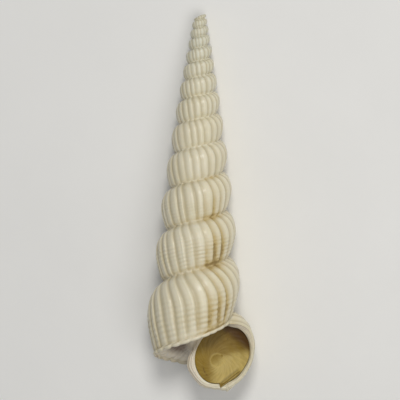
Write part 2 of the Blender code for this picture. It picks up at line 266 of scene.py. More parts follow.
FOLD_FROM = (-1.2, 1.2)  # where it starts, along it
FOLD_END = 0.72  # where it ends, as an angle from its middle
FOLD_PAST = 0.12  # how far its outer side reaches past its middle line
FOLD_DIP = (-0.42, 0.18)  # the dip inside it, across it
FOLD_DIP_DEPTH = 0.06
FLAP_SHARES = (0.12, 0.3, 0.5, 0.68, 0.84, 1.0)  # its rows over the lip
LIP_TOP = 1.56  # how far forward they are

# The floor and the studio's lights: name, place from the shell's middle in metres, size, power and colour
FLOOR_REACH = 1.5
LIGHTS = (
    ("key", (0.16, 0.24, 0.44), 0.14, 1.10, (1.0, 0.99, 0.965)),
    ("front", (0.24, -0.05, 0.42), 0.30, 0.72, (1.0, 0.99, 0.97)),
)
ROOM_COLOUR = (0.95, 0.97, 1.0, 1.0)
ROOM_POWER = 0.22

# The camera: square to the axis on the mouth's side, tilted a little
VIEW_LENS = 300.0
VIEW_SENSOR = 36.0
VIEW_WIDTH = 53.15  # what it sees at the shell
VIEW_AT = (0.332, -28.913, 0.0)  # the middle of that
VIEW_TILT = 0.0139


def smooth(x):
    """0 up to 0, 1 from 1 on, and an even S between them."""
    x = np.clip(x, 0.0, 1.0)
    return x * x * (3 - 2 * x)


def rise(x, start, width):
    """0 up to start, 1 a width further on, and an even S between them."""
    return smooth((x - start) / width)


def mix(a, b, share):
    return a + (b - a) * share


def bump(x, middle, width):
    """1 at the middle, falling to 0 a few widths away."""
    return np.exp(-(((x - middle) / width) ** 2))


def place(radius, turn, drop):
    radius, turn, drop = np.broadcast_arrays(radius, turn, drop)
    return np.stack([radius * np.cos(TAU * turn), -drop, radius * np.sin(TAU * turn)], -1)


def spots(places):
    """Points from (sideways, drop, forwards)."""
    return np.array([(x, -drop, z) for x, drop, z in places])


def ease(before, a, b, after, share):
    """A share of the way from a to b, on the smooth curve that also passes before and after."""
    slope_a, slope_b = (b - before) * 0.5, (after - a) * 0.5
    s, t = share, 1 - share
    return a * t * t * (1 + 2 * s) + slope_a * s * t * t + b * s * s * (1 + 2 * t) - slope_b * s * s * t


def along(points, share):
    """The points at these shares of the length of a run of points, on a smooth curve through them."""
    share = np.asarray(share, float)
    steps = np.linalg.norm(np.diff(points, axis=0), axis=1)
    ends = np.concatenate([[0.0], np.cumsum(steps)])
    at = share * ends[-1]
    i = np.clip(np.searchsorted(ends, at + 1e-9, side="right") - 1, 0, len(points) - 2)
    before, after = points[np.maximum(i - 1, 0)], points[np.minimum(i + 2, len(points) - 1)]
    return ease(before, points[i], points[i + 1], after, ((at - ends[i]) / steps[i])[..., None])


def turned_from(angle, middle):
    """The angle from middle to angle, within half a turn either way."""
    return np.mod(angle - middle + math.pi, TAU) - math.pi


def on_cord(turn):
    """1 where the seam is the cord round the base, 0 up the spire."""
    return smooth((turn - LAST_TURN) / 0.1 + 1)


def seam(turn):
    """Radius and drop of the seam above a whorl. From the mouth on it is the cord round the base."""
    turn = np.asarray(turn, float)
    lag = CORD_LAG * on_cord(turn) * (1 - rise(turn, 0.7, 0.35))
    sag = CORD_SAG * rise(turn, 0.0, 0.35) * (1 - rise(turn, 0.42, 0.4))
    drop = SEAM_DROP * GROWTH**turn * (1 + lag + sag)
    spire = mix(SPIRE_SLOPE, SEAM_SLOPE, np.exp(np.minimum(turn, 0) / SLOPE_TURNS))
    slope = np.where(turn < 0, spire, mix(SEAM_SLOPE, CORD_SLOPE, turn))
    return slope * drop, drop


def crown(points):
    """The height of the worn tip over these points."""
    x, z = points[..., 0], points[..., 2]
    return TIP_SLANT * x - TIP_DROP - TIP_ROUND * (x * x + z * z)


def worn(points):
    """The points, or where the worn tip cuts them off."""
    points[..., 1] = np.minimum(points[..., 1], mix(crown(points), points[..., 1], 0.15))
    return points


def rib_depth(turn, down):
    """How deep the grooves between the CAD solid's ribs are."""
    return RIB_HEIGHT * seam(turn)[0] * np.sin(math.pi * (0.12 + 0.80 * down)) ** 0.5


def coil_side(turn, down, low=None):
    """The whorl's side, down a share of its way, and low millimetres inside the ribs' crests."""
    turn, down = np.asarray(turn, float), np.asarray(down, float)
    if low is None:
        low = rib_depth(turn, down)
    (r0, d0), (r1, d1) = seam(turn), seam(turn + 1)
    down = 1 - (1 - down) * mix(FIRST_HEIGHT, 1, smooth(2 * (turn - FIRST_TURN)))
    chord = np.hypot(r1 - r0, d1 - d0)
    lift = mix(BULGE, LAST_BULGE, on_cord(turn + 1)) * chord * np.sin(math.pi * down**BULGE_SKEW) - low
    radius = mix(r0, r1, down) + lift * (d1 - d0) / chord
    return worn(place(radius, turn, mix(d0, d1, down) - lift * (r1 - r0) / chord))


def cord_point(turn, swing, notch):
    """The cord round the base, notch millimetres deep. swing is the angle round it, 0 outwards and 90
    degrees down."""
    radius, drop = seam(turn + 1)
    inset = CORD_ROUND / math.sqrt(2) - 0.7 * CORD_HEIGHT
    across, down = (CORD_ROUND - notch) * np.cos(swing), (CORD_ROUND - notch) * np.sin(swing)
    return place(radius - inset + across, turn, drop - inset + down)


def coil_base(turn, inward, low=0.0):
    """The base, in a share of its way from the cord to the foot of the inner lip."""
    turn, inward = np.asarray(turn, float), np.asarray(inward, float)
    radius, drop = seam(turn + 1)
    cord = place(radius + 0.7 * CORD_HEIGHT, turn, drop + 0.7 * CORD_HEIGHT)
    foot = along(spots(INNER_LIP + LIP_EDGE[-1:]), turn - LAST_TURN + 1)
    point = mix(cord, foot, inward[..., None])
    near_lip = smooth((turn - LAST_TURN) / BASE_BULGE_TURNS + 1)
    bulge = BASE_BULGE * near_lip * np.sin(math.pi * inward**1.2)
    point[..., 1] += 2 * CORD_HEIGHT * np.minimum(1.0, inward / 0.05) * (1 - inward) - bulge + low
    return point


def lip_edge(share, part):
    """The lip's outer edge: its "side" part runs from the seam to the cord, its "base" part on inwards."""
    radius, drop = seam(LAST_TURN)
    run = np.concatenate([place(radius, LAST_TURN, drop)[None], spots(LIP_EDGE)])
    if part == "side":
        return along(run[: LIP_CORNER + 1], np.asarray(share) ** LIP_SKEW)
    return along(run[LIP_CORNER:], share)


def flared(points, at_lip, turn, share, part):
    """Points of the coil, moved by as much of the lip's flare as reaches their turn."""
    reach = 2 * smooth((turn - LAST_TURN + FLARE_TURNS) / (2 * FLARE_TURNS))
    return points + (lip_edge(share, part) - at_lip) * reach[..., None]


def sweep(turn, down):
    """Turns that a rib runs ahead of its middle. This fades out towards the mouth."""
    size = mix(SPIRE_SWEEP, SWEEP, rise(turn, *SWEEP_TURN))
    ahead = size * np.maximum(0.0, 1 - down / SWEEP_DOWN) ** 2 - TRAIL * rise(down, *TRAIL_DOWN)
    return (ahead - SWEEP_MEAN * size) * (1 - smooth((turn - LAST_TURN + SWEEP_FADE) / SWEEP_FADE))


class Ribs:
    """Where each rib lies, and how it differs from its neighbours."""

    def __init__(self):
        chance = np.random.default_rng(SEED)
        length = LAST_TURN - FIRST_TURN
        self.gain = (MOUTH_RIBS - TIP_RIBS) / (2 * length)
        count = int(TIP_RIBS * length + self.gain * length**2) + 3
        stray = np.clip(chance.normal(0, RIB_UNEVEN, count), -MOST_UNEVEN, MOST_UNEVEN)
        self.start = self.turn_of(np.arange(count) + stray)
        self.depth = np.clip(chance.normal(1.0, DEPTH_UNEVEN, count), *DEPTH_LIMITS)
        self.tone = chance.uniform(0, 1, count)
        self.varix = chance.uniform(0, 1, count) < VARIX_SHARE

    def turn_of(self, rib):
        root = np.sqrt(TIP_RIBS**2 + 4 * self.gain * np.maximum(rib, 0))
        return FIRST_TURN + (root - TIP_RIBS) / (2 * self.gain)

    def columns(self):
        """(turn, rib, phase) of each column of points. One is at the mouth and one a turn before it."""
        found = []
        for rib in range(len(self.start) - 1):
            first, after = self.start[rib], self.start[rib + 1]
            for phase in FINE_PHASES if first >= FINE_TURN else PLAIN_PHASES:
                found.append([mix(first, after, phase), rib, phase])
        for fixed in (LAST_TURN - 1, LAST_TURN):
            min(found, key=lambda column: abs(column[0] - fixed))[0] = fixed
        found = np.array([column for column in found if FIRST_TURN <= column[0] <= LAST_TURN])
        return found[:, 0], found[:, 1].astype(int), found[:, 2]

    def groove(self, rib, phase):
        """0 on a rib's crest and about 1 at the bottom of a groove: more in the deep ones."""
        shape = (0.5 + 0.5 * np.cos(TAU * phase**RIB_SKEW)) ** RIB_CREST
        return shape * mix(self.depth[rib], self.depth[rib + 1], phase)


def growth_lines(rib, phase):
    """Fine threads along the ribs, unalike from rib to rib."""
    return 0.6 * np.sin(TAU * (2 * phase + 0.37 * rib)) + 0.4 * np.sin(TAU * 3.3 * (rib + phase))


def between_cords(turn, down, tone):
    """1 between the spiral cords and 0 on them. They show low on the last whorls, on some ribs more."""
    where = rise(turn, *SPIRAL_TURN) * rise(down + SPIRAL_SPREAD * tone, *SPIRAL_DOWN)
    uneven = 0.62 + 0.38 * np.sin(37 * turn + 11 * down + 6 * tone)
    cord = TAU * SPIRAL_CORDS * down + 0.9 * np.sin(17 * turn) + 1.3 * tone
    return where * uneven * (0.5 - 0.5 * np.cos(cord)) ** 1.5


def side_stain(turn, down, groove, gap):
    """Golden dirt, mostly by the seams and in the grooves right of the front of the last whorls."""
    thick = bump(np.mod(turn, 1.0), *STAIN_FACING) * rise(turn, *STAIN_TURN)
    by_seam = rise(down, *STAIN_FOOT) + bump(down, 0.0, STAIN_TOP)
    low = rise(down, *STAIN_LOW)
    in_groove = groove * (0.35 + 0.65 * low) + 0.5 * gap * low
    there = thick * (0.10 + 0.14 * low + 0.42 * by_seam + 0.78 * in_groove)
    elsewhere = STAIN_ELSEWHERE * rise(turn, *STAIN_ELSEWHERE_TURN) * (by_seam + 0.7 * in_groove)
    return np.clip(there + elsewhere, 0, 1)


class Skin:
    """A surface, built from blocks of points with marks for the material: row is how far down or inward a
    point is, and a high tone makes it paler. lid_skin() gives the marks other meanings."""

    MARKS = ("rib", "row", "groove", "stain", "base", "lip", "tone")

    def __init__(self):
        self.points, self.marks, self.faces, self.size = [], [], [], 0

    def block(self, points, **marks):
        """Adds an array of points and returns an array of their numbers."""
        points = np.asarray(points, float)
        shape = points.shape[:-1]
        values = [np.broadcast_to(marks.get(name, 0.0), shape).ravel() for name in self.MARKS]
        self.points.append(points.reshape(-1, 3))
        self.marks.append(np.stack(values, -1))
        numbers = self.size + np.arange(self.points[-1].shape[0]).reshape(shape)
        self.size += numbers.size
        return numbers

    def at(self, numbers):
        return np.concatenate(self.points)[numbers]

    def grid(self, numbers):
        """Faces between the rows and columns of a block."""
        a, b, c, d = numbers[:-1, :-1], numbers[1:, :-1], numbers[1:, 1:], numbers[:-1, 1:]
        self.faces += np.stack([a, b, c, d], -1).reshape(-1, 4).tolist()

    def strip(self, row_a, row_b, shut=False):
        """Faces between two rows of as many points."""
        count = len(row_a) if shut else len(row_a) - 1
        for i in range(count):
            j = (i + 1) % len(row_a)
            self.face(row_a[i], row_a[j], row_b[j], row_b[i])

    def face(self, *corners):
        corners = list(dict.fromkeys(int(corner) for corner in corners))
        if len(corners) > 2:
            self.faces.append(corners)

    def stitch(self, row_a, at_a, row_b, at_b):
        """Triangles between two rows whose points lie at unlike places, at_a and at_b, along them."""
        i = j = 0
        while i < len(row_a) - 1 or j < len(row_b) - 1:
            next_a = at_a[i + 1] if i < len(row_a) - 1 else math.inf
            next_b = at_b[j + 1] if j < len(row_b) - 1 else math.inf
            if next_a <= next_b:
                self.face(row_a[i], row_a[i + 1], row_b[j])
                i += 1
            else:
                self.face(row_a[i], row_b[j + 1], row_b[j])
                j += 1

    def stitch_round(self, row_a, at_a, row_b, at_b):
        """The same between two shut rows, at these angles round the mouth."""
        rows = [np.append(row, row[0]) for row in (row_a, row_b)]
        ends = [np.append(at, at[0] + TAU) for at in (at_a, at_b)]
        self.stitch(rows[0], ends[0], rows[1], ends[1])

    def cap(self, row, tip, **marks):
        """Faces from a shut row to one point."""
        tip = self.block([tip], **marks)[0]
        for a, b in zip(row, np.roll(row, -1)):
            self.face(a, b, tip)

    def mesh(self, name, move):
        """The surface as a mesh in metres, its faces turned outwards. move takes it to the row frame."""
        mesh = bpy.data.meshes.new(name)
        mesh.from_pydata(move(np.concatenate(self.points)), [], self.faces)
        bm = bmesh.new()
        bm.from_mesh(mesh)
        bmesh.ops.recalc_face_normals(bm, faces=bm.faces[:])
        if bm.calc_volume(signed=True) < 0:
            bmesh.ops.reverse_faces(bm, faces=bm.faces[:])
        bm.to_mesh(mesh)
        bm.free()
        for mark, values in zip(self.MARKS, np.concatenate(self.marks).T):
            layer = mesh.attributes.new(mark, "FLOAT", "POINT")
            layer.data.foreach_set("value", values.astype(np.float32))
        mesh.shade_smooth()
        return mesh


def tuck(turn, down, last):
    """How far a whorl tucks in at its seams. The last whorl's foot, on the cord, doesn't."""
    lower = rise(turn, *SUTURE_TURN)
    depth = mix(SPIRE_SUTURE_DEPTH, SUTURE_DEPTH, lower) * seam(turn)[0]
    width = mix(SPIRE_SUTURE_WIDTH, SUTURE_WIDTH, lower)
    above = bump(down, 0.0, width) * rise(LAST_TURN - turn, 0.0, SUTURE_FADE)
    return depth * (above + bump(down, 1.0, width) * (1 - last))


def side_zone(skin, ribs, turns, rib, phase, downs):
    """The sides of the whorls along these columns, as an array of point numbers [column, row]."""
    turn = turns[:, None] + sweep(turns[:, None], downs[None])
    down = np.broadcast_to(downs, turn.shape)
    tone = mix(ribs.tone[rib], ribs.tone[rib + 1], rise(phase, *NEXT_TONE))[:, None]
    edge = (bump(phase, *EDGE_PHASE) * mix(*EDGE_UNEVEN, ribs.tone[rib]))[:, None]
    varix = (ribs.varix[rib] * bump(phase, *VARIX_PHASE))[:, None]
    gap = between_cords(turn, down, tone)
    last = smooth((turn - LAST_TURN + 1.0) / LAST_STEP)
    whole = last * rise(down, *WHOLE_DOWN) * (1 - rise(np.mod(turn, 1.0), *WHOLE_FACING))
    groove = ribs.groove(rib, phase)[:, None] * (1 - WHOLE_FOOT * whole)
    low = GROOVE_DEEPER * rib_depth(turn, down) * groove * (1 - FLATTER * rise(turn, *FLATTER_TURN))
    low = low - EDGE_HEIGHT * rib_depth(turn, down) * edge * (1 - EDGE_CUT * gap)
    low = low + SPIRAL_HEIGHT * gap * (1 - 0.3 * groove)
    low = low + GROWTH_HEIGHT * growth_lines(rib, phase)[:, None]
    low = low - VARIX_HEIGHT * varix * rise(down, *VARIX_TOP) * (1 - rise(down, *VARIX_FOOT))
    low = low + CORD_NOTCH * last * bump(down, *CORD_NOTCH_DOWN) + tuck(turn, down, last)
    at_lip = coil_side(LAST_TURN, downs)
    return skin.block(
        flared(coil_side(turn, down, low), at_lip[None], turn, down, "side"),
        rib=(rib + phase)[:, None],
        row=down,
        # groove: painted shade in the grooves between the ribs and between the spiral cords
        groove=np.clip(groove + 0.35 * gap, 0, 1),
        stain=side_stain(turn, down, groove, gap),
        # tone: random paleness of the ribs, the thick old lips and the seam line, and a painted highlight
        # along each rib's raised edge
        tone=np.clip(0.55 * tone + 0.6 * edge + varix + bump(down, 0.0, SEAM_PALE), 0, 1),
        lip=smooth((turn - LAST_TURN + LIP_TURNS) / LIP_TURNS),
    )


def whorls(skin, ribs):
    """All whorls' sides. Returns the columns' turns and grooves, and their points [column][row]."""
    turns, rib, phase = ribs.columns()
    fine = turns >= FINE_TURN
    zones = []
    for chosen, rows in ((~fine, PLAIN_ROWS), (fine, FINE_ROWS)):
        downs = np.linspace(0, SIDE_END, rows)
        zones.append((side_zone(skin, ribs, turns[chosen], rib[chosen], phase[chosen], downs), downs))
        skin.grid(zones[-1][0])
    (plain, plain_downs), (dense, dense_downs) = zones
    skin.stitch(plain[-1], plain_downs, dense[0], dense_downs)
    return turns, ribs.groove(rib, phase), list(plain) + list(dense)


def sew_whorls(skin, turns, sides):
    """Joins each foot to the next seam row. Returns how many seam points are above the first whorl."""
    last = int(np.argmin(abs(turns - (LAST_TURN - 1))))
    foot_at = turns + sweep(turns, np.array(SIDE_END)) + 1
    seam_at = turns + sweep(turns, np.array(0.0))
    first = int(np.argmax(seam_at >= foot_at[0]))
    feet, seams = [side[-1] for side in sides], [side[0] for side in sides]
    skin.stitch(feet[: last + 1], foot_at[: last + 1], seams[first:], seam_at[first:])
    return first


def close_tip(skin, sides, first):
    rim = np.array([side[0] for side in sides[: first + 1]] + list(sides[0][:0:-1]))
    spot = skin.at(rim)
    middle = spot.mean(0)
    for share in (0.3, 0.6, 0.85):
        ring = mix(spot, middle, share)
        ring[:, 1] = crown(ring) + 0.02
        inner = skin.block(ring, groove=0.2)
        skin.strip(rim, inner, shut=True)
        rim = inner
    skin.cap(rim, skin.at(rim).mean(0) + (0, 0.01, 0))


def cord_relief(turn, grooves):
    """How far the ribs notch the cord round the base. On the mouth's side it is nearly whole."""
    notched = mix(NEAR_NOTCHES, 1.0, rise(np.mod(turn, 1.0), *NEAR_FACING))
    return CORD_NOTCHES * grooves * notched * (1 - smooth((turn + NOTCH_FADE) / NOTCH_FADE))


def in_furrow(turn, inward):
    """1 in the middle of the furrow beside the inner lip, falling to 0 round it."""
    return bump(inward, *FURROW_INWARD) * bump(np.mod(turn, 1.0), *FURROW_FACING)


def base_relief(turn, inward, grooves):
    """How far the base lies above its plain form: a furrow beside the inner lip, folds, lines and rings."""
    furrow = FURROW_DEPTH * in_furrow(turn, inward)
    swell = SWELL_HEIGHT * bump(inward, *SWELL_INWARD) * bump(np.mod(turn, 1.0), *SWELL_FACING)
    folds = BASE_FOLDS * cord_relief(turn, grooves) * (1 - rise(inward, 0.0, BASE_FOLDS_END))
    lines = RADIAL_HEIGHT * np.sin(TAU * (RADIAL_LINES * turn + 0.9 * inward))
    rings = sum(height * math.sin(TAU * count * inward) for count, height in BASE_RINGS)
    return furrow - swell + folds + (lines + rings) * math.sin(math.pi * inward) ** 0.5


def last_base(skin, turns, grooves, sides):
    """The cord round the base and the base, as rows of point numbers from the side's foot inwards."""
    start = int(np.argmin(abs(turns - (LAST_TURN - 1))))
    turn, grooves = turns[start:], grooves[start:]
    rib = PAST_RIBS + BASE_GROWTH * turn
    rows = [np.array([side[-1] for side in sides[start:]])]
    at_lip = coil_base(LAST_TURN, 0.0)
    notch = cord_relief(turn, grooves)
    for step, swing in enumerate(np.radians(np.linspace(*CORD_SWINGS, CORD_STEPS))):
        points = flared(cord_point(turn, swing, notch), at_lip[None], turn, 0.0 * turn, "base")
        # painted shade in the cord's notches, and, through the base mark, growing towards the cord's
        # underside
        groove = 0.15 + 0.5 * notch / CORD_NOTCHES
        row = skin.block(points, row=1.0, rib=rib, base=0.04 * step, groove=groove, tone=0.3)
        if step == 0:
            row[0] = sides[-1][0]
        rows.append(row)
    for inward in np.linspace(0, 1, BASE_STEPS + 1)[1:] ** 1.15:
        relief = base_relief(turn, inward, grooves)
        share = 0.0 * turn + inward
        at_lip = coil_base(LAST_TURN, inward)
        points = flared(coil_base(turn, share, relief), at_lip[None], turn, share, "base")
        base = mix(0.5, 1.0, rise(inward, 0.0, 0.15))
        # painted shade where the base lies deeper, most of all in the furrow
        groove = np.clip(0.08 + 1.6 * relief + FURROW_SHADE * in_furrow(turn, inward), 0, 1)
        rows.append(skin.block(points, row=1 + inward, rib=rib, base=base, groove=groove, tone=0.5))
    for a, b in zip(rows, rows[1:]):
        skin.strip(a, b)
    return rows


def mouth_point(angle, depth, inset):
    """A point this deep in the mouth, inset from its wall: angle 0 is on the +X side, 90 degrees lowest."""
    angle = np.asarray(angle, float)
    at = np.mod(np.degrees(angle) / 30, 12)
    whole = np.floor(at).astype(int)
    radii = np.array(MOUTH_RADII)
    near = [radii[(whole + step) % 12] for step in (-1, 0, 1, 2)]
    radius = ease(*near, at - whole) * (1 - THROAT_TAPER * depth) - inset
    drop = MOUTH_CENTRE[1] + radius * np.sin(angle) - THROAT_RISE * depth * depth
    forward = MOUTH_FORWARD - depth + 0 * angle
    return np.stack([MOUTH_CENTRE[0] + radius * np.cos(angle), -drop, forward], -1)


def shown_mouth(angle, depth, inset=0.0):
    """The same, with the mouth a little wider at its upper right than in the CAD model."""
    off = turned_from(np.asarray(angle, float), WIDER_FACING)
    return mouth_point(angle, depth, inset - WIDER * bump(off, 0.0, WIDER_WIDTH))


def loop_angles(count):
    """Angles round the mouth, from the one where the CAD model's loops begin."""
    return TAU * np.arange(count) / count - math.radians(60)


def round_lip(skin, sides, bases):
    """The lip, from its outer edge over a rounded crest to the throat. Returns the throat's first row."""
    end_column = [row[-1] for row in bases[1:]]
    start_column = [row[0] for row in bases[-2:1:-1]]
    edge = np.array(list(sides[-1]) + end_column + list(bases[-1][-2::-1]) + start_column)
    outer = skin.at(edge)
    ahead = np.arctan2(-outer[:, 1] - MOUTH_CENTRE[1], outer[:, 0] - MOUTH_CENTRE[0])
    for i in range(1, len(edge)):
        ahead[i] = ahead[i - 1] + max(0.0, math.remainder(ahead[i] - ahead[i - 1], TAU))
    inner = shown_mouth(ahead, 0)
    crest = LIP_CREST * (0.5 + 0.5 * np.cos(ahead - CREST_FACING))
    width = np.minimum(np.linalg.norm(outer - inner, axis=1), WIDEST_LIP)
    white = smooth(1.5 - abs(turned_from(ahead, WHITE_FACING)) / 1.2)
    row = edge
    for share in np.arange(1, LIP_STEPS) / LIP_STEPS:
        arch = math.sin(math.pi * share)
        points = mix(outer, inner, share)
        laminae = LAMINA_HEIGHT * np.sin(TAU * LAMINAE * share + 0.8 * np.sin(5 * ahead)) * width
        points[:, 2] += crest * arch**0.8 + arch * (laminae + LIP_UNEVEN * np.sin(19 * ahead + 4 * share))
        glossy = bump(ahead, *GLOSSY_FACING) * share**2
        ring = skin.block(
            points,
            rib=PAST_RIBS + LIP_GROWTH * ahead,
            row=3 * share,
            # groove: painted shade between the lip's layers
            groove=np.clip(0.25 - 8 * laminae, 0, 1) * (1 - share),
            base=(1 - white) * (1 - glossy),
            lip=white * mix(0.55, 1.0, share),
            tone=0.5 + 3 * glossy,
        )
        skin.strip(row, ring, shut=True)
        row = ring
    angles = loop_angles(THROAT_POINTS)
    rib = PAST_RIBS + LIP_GROWTH * angles
    throat = skin.block(shown_mouth(angles, 0), rib=rib, row=1.0, lip=1.0, tone=0.5)
    skin.stitch_round(row, ahead, throat, angles)
    return throat


def hollow_row(turn):
    """Points of the hollow's wall where it follows the coil."""
    angles = loop_angles(CAD_LOOP_POINTS)
    radius = HOLLOW_CENTRE[0] + HOLLOW_RADII[0] * np.cos(angles)
    drop = HOLLOW_CENTRE[1] + HOLLOW_RADII[1] * np.sin(angles)
    return place(radius * GROWTH**turn, turn, drop * GROWTH**turn)


def hollow_out(skin, throat):
    """The throat, straight in from the mouth, and the hollow that it bends into."""
    angles, fine = loop_angles(CAD_LOOP_POINTS), loop_angles(THROAT_POINTS)
    rib = PAST_RIBS + LIP_GROWTH * fine
    row = throat
    for depth in THROAT_DEPTHS:
        seat = SEAT_DEPTH * bump(depth, *SEAT_AT)
        ring = skin.block(shown_mouth(fine, depth, -seat), row=1 + depth, rib=rib, lip=1.0, tone=0.5)
        skin.strip(row, ring, shut=True)
        row = ring
    straight = shown_mouth(angles, THROAT_DEPTH)
    rows = [skin.block(straight, lip=1.0, tone=0.5)]
    skin.stitch_round(row, fine, rows[0], angles)
    for turn, share in THROAT_BEND:
        rows.append(skin.block(mix(straight, hollow_row(turn), share), lip=1.0, tone=0.5))
    for step in range(int(HOLLOW_TURNS * HOLLOW_STEPS) + 1):
        rows.append(skin.block(hollow_row(BEND_END - step / HOLLOW_STEPS), lip=1.0, tone=0.5))
    for a, b in zip(rows, rows[1:]):
        skin.strip(a, b, shut=True)
    skin.cap(rows[-1], skin.at(rows[-1]).mean(0), lip=1.0)


def shell_skin():
    skin, ribs = Skin(), Ribs()
    turns, grooves, sides = whorls(skin, ribs)
    close_tip(skin, sides, sew_whorls(skin, turns, sides))
    hollow_out(skin, round_lip(skin, sides, last_base(skin, turns, grooves, sides)))
    return skin


def lid_point(angle, reach, behind=0.0, depth=SHOWN_LID_DEPTH, gap=SHOWN_LID_GAP, wall=shown_mouth):
    """A point of the lid: reach is 1 at its rim and 0 at its middle."""
    rim = wall(angle, depth, gap)
    centre = np.array([MOUTH_CENTRE[0], -MOUTH_CENTRE[1], MOUTH_FORWARD - depth])
    point = centre + (rim - centre) * np.asarray(reach)[..., None]
    sag = LID_TILT * (point[..., 1] - centre[1]) + LID_DISH * (1 - np.asarray(reach) ** 2)
    point[..., 2] -= sag + behind
    return point


def from_nucleus(points):
    """How far across, up and in all from the nucleus, and the angle round it, 90 degrees uppermost."""
    across, up = points[..., 0] - NUCLEUS[0], points[..., 1] + NUCLEUS[1]
    return across, up, np.hypot(across, up) + 1e-6, np.arctan2(up, across)


def lid_relief(far, round_it, spiral):
    """How far the lid's front stands forward of its plain dish."""
    ring = RING_HEIGHT * bump(far, NUCLEUS_RADIUS, RING_WIDTH) - PIT_DEPTH * bump(far, 0, PIT_RADIUS)
    lines = LINE_HEIGHT * np.sin(LID_LINES * spiral + 2 * np.sin(3 * far)) * rise(far, *LINE_FROM)
    whorl = np.sin(TAU * (far / LID_WHORL - round_it / TAU))
    return ring + lines + LID_WHORL_HEIGHT * whorl * rise(far, *LID_WHORL_FROM)


def lid_fold(points):
    """How far the narrow curled fold along the lower right margin stands out of the lid."""
    x, down = points[..., 0] - MOUTH_CENTRE[0], -points[..., 1] - MOUTH_CENTRE[1]
    across = x * math.cos(FOLD_FACING) + down * math.sin(FOLD_FACING) - FOLD_OUT
    on = down * math.cos(FOLD_FACING) - x * math.sin(FOLD_FACING)
    crest, dip = FOLD_HEIGHT * bump(across, 0.0, FOLD_WIDTH), FOLD_DIP_DEPTH * bump(across, *FOLD_DIP)
    return rise(on, *FOLD_FROM) * (crest - dip)


def fold_reach(angle):
    """How far past the lid's rim the fold runs on, over the lip, and 0 elsewhere."""
    rim = shown_mouth(angle, SHOWN_LID_DEPTH, SHOWN_LID_GAP)
    wide = np.hypot(rim[..., 0] - MOUTH_CENTRE[0], rim[..., 1] + MOUTH_CENTRE[1])
    off = turned_from(angle, FOLD_FACING)
    line = FOLD_OUT / np.maximum(np.cos(off), 0.3) + FOLD_PAST
    return np.maximum(0.0, line - wide) * rise(off, 0.0, 0.2) * (1 - rise(off, FOLD_END, 0.05))


def lid_shades(across, up, far, round_it):
    """Marks of the lid's front: lip is painted light at the lower right; the dark mark is painted shadow at
    the upper right together with the real dark cracks; base is painted shade that grows upwards."""
    light = smooth((0.33 * across - up + 0.75) / 1.1) * smooth((across + 1.3) / 1.6)
    middle, width = CRACKS_OUT
    aside = round_it - CRACKS_FACING
    cracks = bump(far, middle + CRACKS_SLANT * aside, width) * bump(aside, 0.0, CRACKS_WIDTH)
    cracks = cracks * (0.65 + 0.35 * np.sin(31 * round_it))
    dark = np.maximum(smooth((0.60 * across + 0.75 * up - 2.9) / 1.2), cracks)
    return {"lip": light, "stain": dark, "base": smooth(up / 3)}


def lid_flap(skin, angle, rim, **marks):
    """The fold's part outside the lid's rim, over the lip, as rows. Elsewhere they stay at the rim."""
    out = fold_reach(angle)
    aside = np.stack([np.cos(angle), -np.sin(angle), 0 * angle], -1)
    rows = []
    for share in FLAP_SHARES:
        points = rim + aside * (share * out)[:, None]
        height = FOLD_HEIGHT * bump(share * out, out - FOLD_PAST, FOLD_WIDTH)
        points[:, 2] = mix(rim[:, 2], LIP_TOP, smooth(share * 3)) + height * smooth(out / 0.3)
        points = np.where(out[:, None] > 0.02, points, rim + aside * 0.004 * share)
        fold = np.clip(height / FOLD_HEIGHT, 0, 1) * (out > 0.1)
        # lip: a little painted light on the flap
        rows.append(skin.block(points, groove=fold, lip=0.3, **marks))
    return rows


def lid_skin():
    """The lid. Its rows are distances from the nucleus, its rib marks run round it, and its groove marks
    are the fold's height."""
    skin = Skin()
    angle = loop_angles(LID_POINTS)
    reach = np.sin(np.linspace(0.02, 0.5, LID_STEPS) * math.pi)[:, None] * FRONT_RIM
    points = lid_point(*np.broadcast_arrays(angle[None], reach))
    across, up, far, round_it = from_nucleus(points)
    spiral = round_it + LINE_CURVE * np.log(far / NUCLEUS_RADIUS)
    fold = lid_fold(points)
    points[..., 2] += lid_relief(far, round_it, spiral) * (1 - rise(reach, *RIM_PLAIN)) + fold
    shades = lid_shades(across, up, far, round_it)
    front = skin.block(points, row=far, rib=spiral, groove=np.clip(fold / FOLD_HEIGHT, -1, 1), **shades)
    edge = skin.block(lid_point(angle, 1.0, LID_THICKNESS / 2), row=LID_RADIUS)
    back = [
        skin.block(lid_point(angle, reach, LID_THICKNESS), row=LID_RADIUS * reach, base=1.0)
        for reach in BACK_REACHES
    ]
    flap = lid_flap(skin, angle, skin.at(front[-1]), row=far[-1], rib=spiral[-1])
    rows = list(front) + flap + [edge] + back
    for a, b in zip(rows, rows[1:]):
        skin.strip(a, b, shut=True)
    skin.cap(rows[0], skin.at(rows[0]).mean(0))
    skin.cap(rows[-1], skin.at(rows[-1]).mean(0), base=1.0)
    return skin


def row_frame_move():
    """A function that takes points from the shell's frame to the row frame. The CAD lid's box, next to
    the same lid computed here, says where the shell was set down."""
    turned = np.array(LIE)
    angle = loop_angles(CAD_LOOP_POINTS)
    places = [(1.0, LID_THICKNESS / 2)]
    places += [(reach, behind) for reach in CAD_LID_REACHES for behind in (0.0, LID_THICKNESS)]
    lid = [lid_point(angle, *spot, LID_DEPTH, LID_GAP, mouth_point) for spot in places]
    shift = np.array(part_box("operculum")[0]) - (np.concatenate(lid) @ turned.T * MM).min(0)
    shift[2] += BULGED * MM
    return lambda points: points @ turned.T * MM + shift


